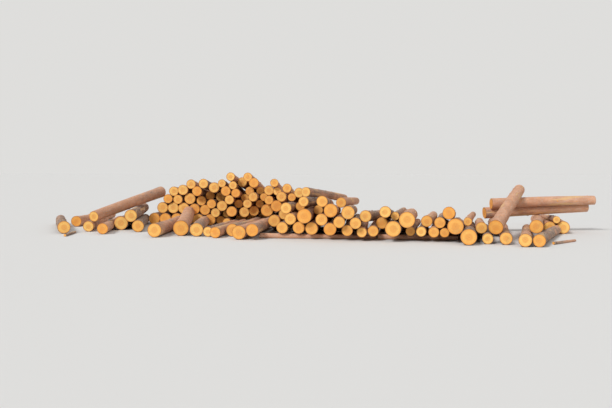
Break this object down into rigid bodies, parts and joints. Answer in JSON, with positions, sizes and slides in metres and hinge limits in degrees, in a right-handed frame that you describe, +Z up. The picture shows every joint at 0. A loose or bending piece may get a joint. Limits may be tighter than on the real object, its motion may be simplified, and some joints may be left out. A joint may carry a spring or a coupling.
{
  "type": "stack of logs",
  "caption": "Heap of short sawn pine logs: a tall rear stack, a tail of single logs, and a lower run on thin bearer poles with a crossed pair at its end.",
  "frame": {"origin": "on the ground, under the middle of the heap's bounding box", "axes": "+X along the heap to the right as one faces its sawn ends, +Y away from the side that shows most sawn ends, +Z up"},
  "size_m": [13.3022, 8.1528, 1.3545],
  "materials": {
    "pine_log": "bark, rough; ends sawn",
    "thin_pole": "thin bark, rough"
  },
  "bodies": {
    "root": {"bearer_poles": "thin_pole", "cross_logs": "pine_log", "front_ground_logs": "pine_log", "junction_logs": "pine_log", "leaning_log": "pine_log", "loose_poles": "thin_pole", "middle_bearer_course": "pine_log", "middle_course_2": "pine_log", "middle_course_3": "pine_log", "middle_top_logs": "pine_log", "rear_course_1": "pine_log", "rear_course_2": "pine_log", "rear_course_3": "pine_log", "rear_course_4": "pine_log", "rear_course_5": "pine_log", "rear_top_logs": "pine_log", "right_bearer_course": "pine_log", "right_course_2": "pine_log", "right_course_3": "pine_log", "right_ground_logs": "pine_log", "tail_ground_logs": "pine_log", "tail_upper_logs": "pine_log"}
  },
  "joints": []
}
